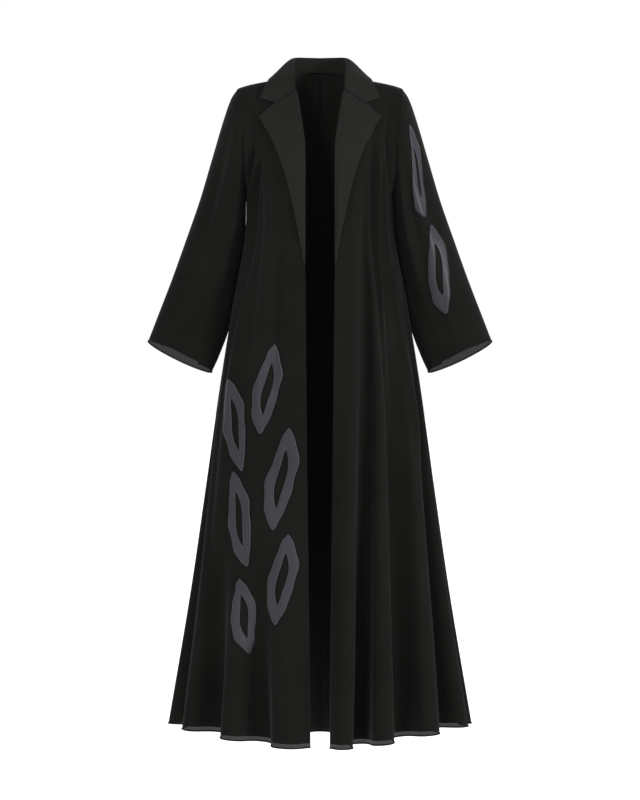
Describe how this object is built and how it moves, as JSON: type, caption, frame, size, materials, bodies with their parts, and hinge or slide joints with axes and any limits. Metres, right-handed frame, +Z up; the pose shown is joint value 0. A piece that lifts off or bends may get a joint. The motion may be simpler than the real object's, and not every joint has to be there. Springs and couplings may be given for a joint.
{
  "type": "abaya cloak",
  "caption": "Ankle-length open-front abaya cloak with notched collar and lapels, widening sleeves, flared fluted skirt and satin leaf appliqués, filled out and empty.",
  "frame": {"origin": "middle of the shoulder line, midway between the two neck points, where the cloak hangs from the shoulders", "axes": "+Z up, along the garment's length; -Y is the front; +X is the wearer's left"},
  "size_m": [0.728, 0.3664, 1.4539],
  "materials": {
    "black_crepe": "soft matte black crepe, slightly see-through in one layer",
    "faced_crepe": "the same black crepe, faced and pressed, a little smoother",
    "satin_applique": "charcoal satin with a soft sheen and beaded edge"
  },
  "bodies": {
    "root": {"front_right": "black_crepe", "front_left": "black_crepe", "back_right": "black_crepe", "back_left": "black_crepe", "sleeve_right": "black_crepe", "sleeve_left": "black_crepe", "collar": "faced_crepe", "lapel_right": "faced_crepe", "lapel_left": "faced_crepe", "leaf_1": "satin_applique", "leaf_2": "satin_applique", "leaf_3": "satin_applique", "leaf_4": "satin_applique", "leaf_5": "satin_applique", "leaf_6": "satin_applique", "sleeve_leaf_1": "satin_applique", "sleeve_leaf_2": "satin_applique"}
  },
  "joints": []
}
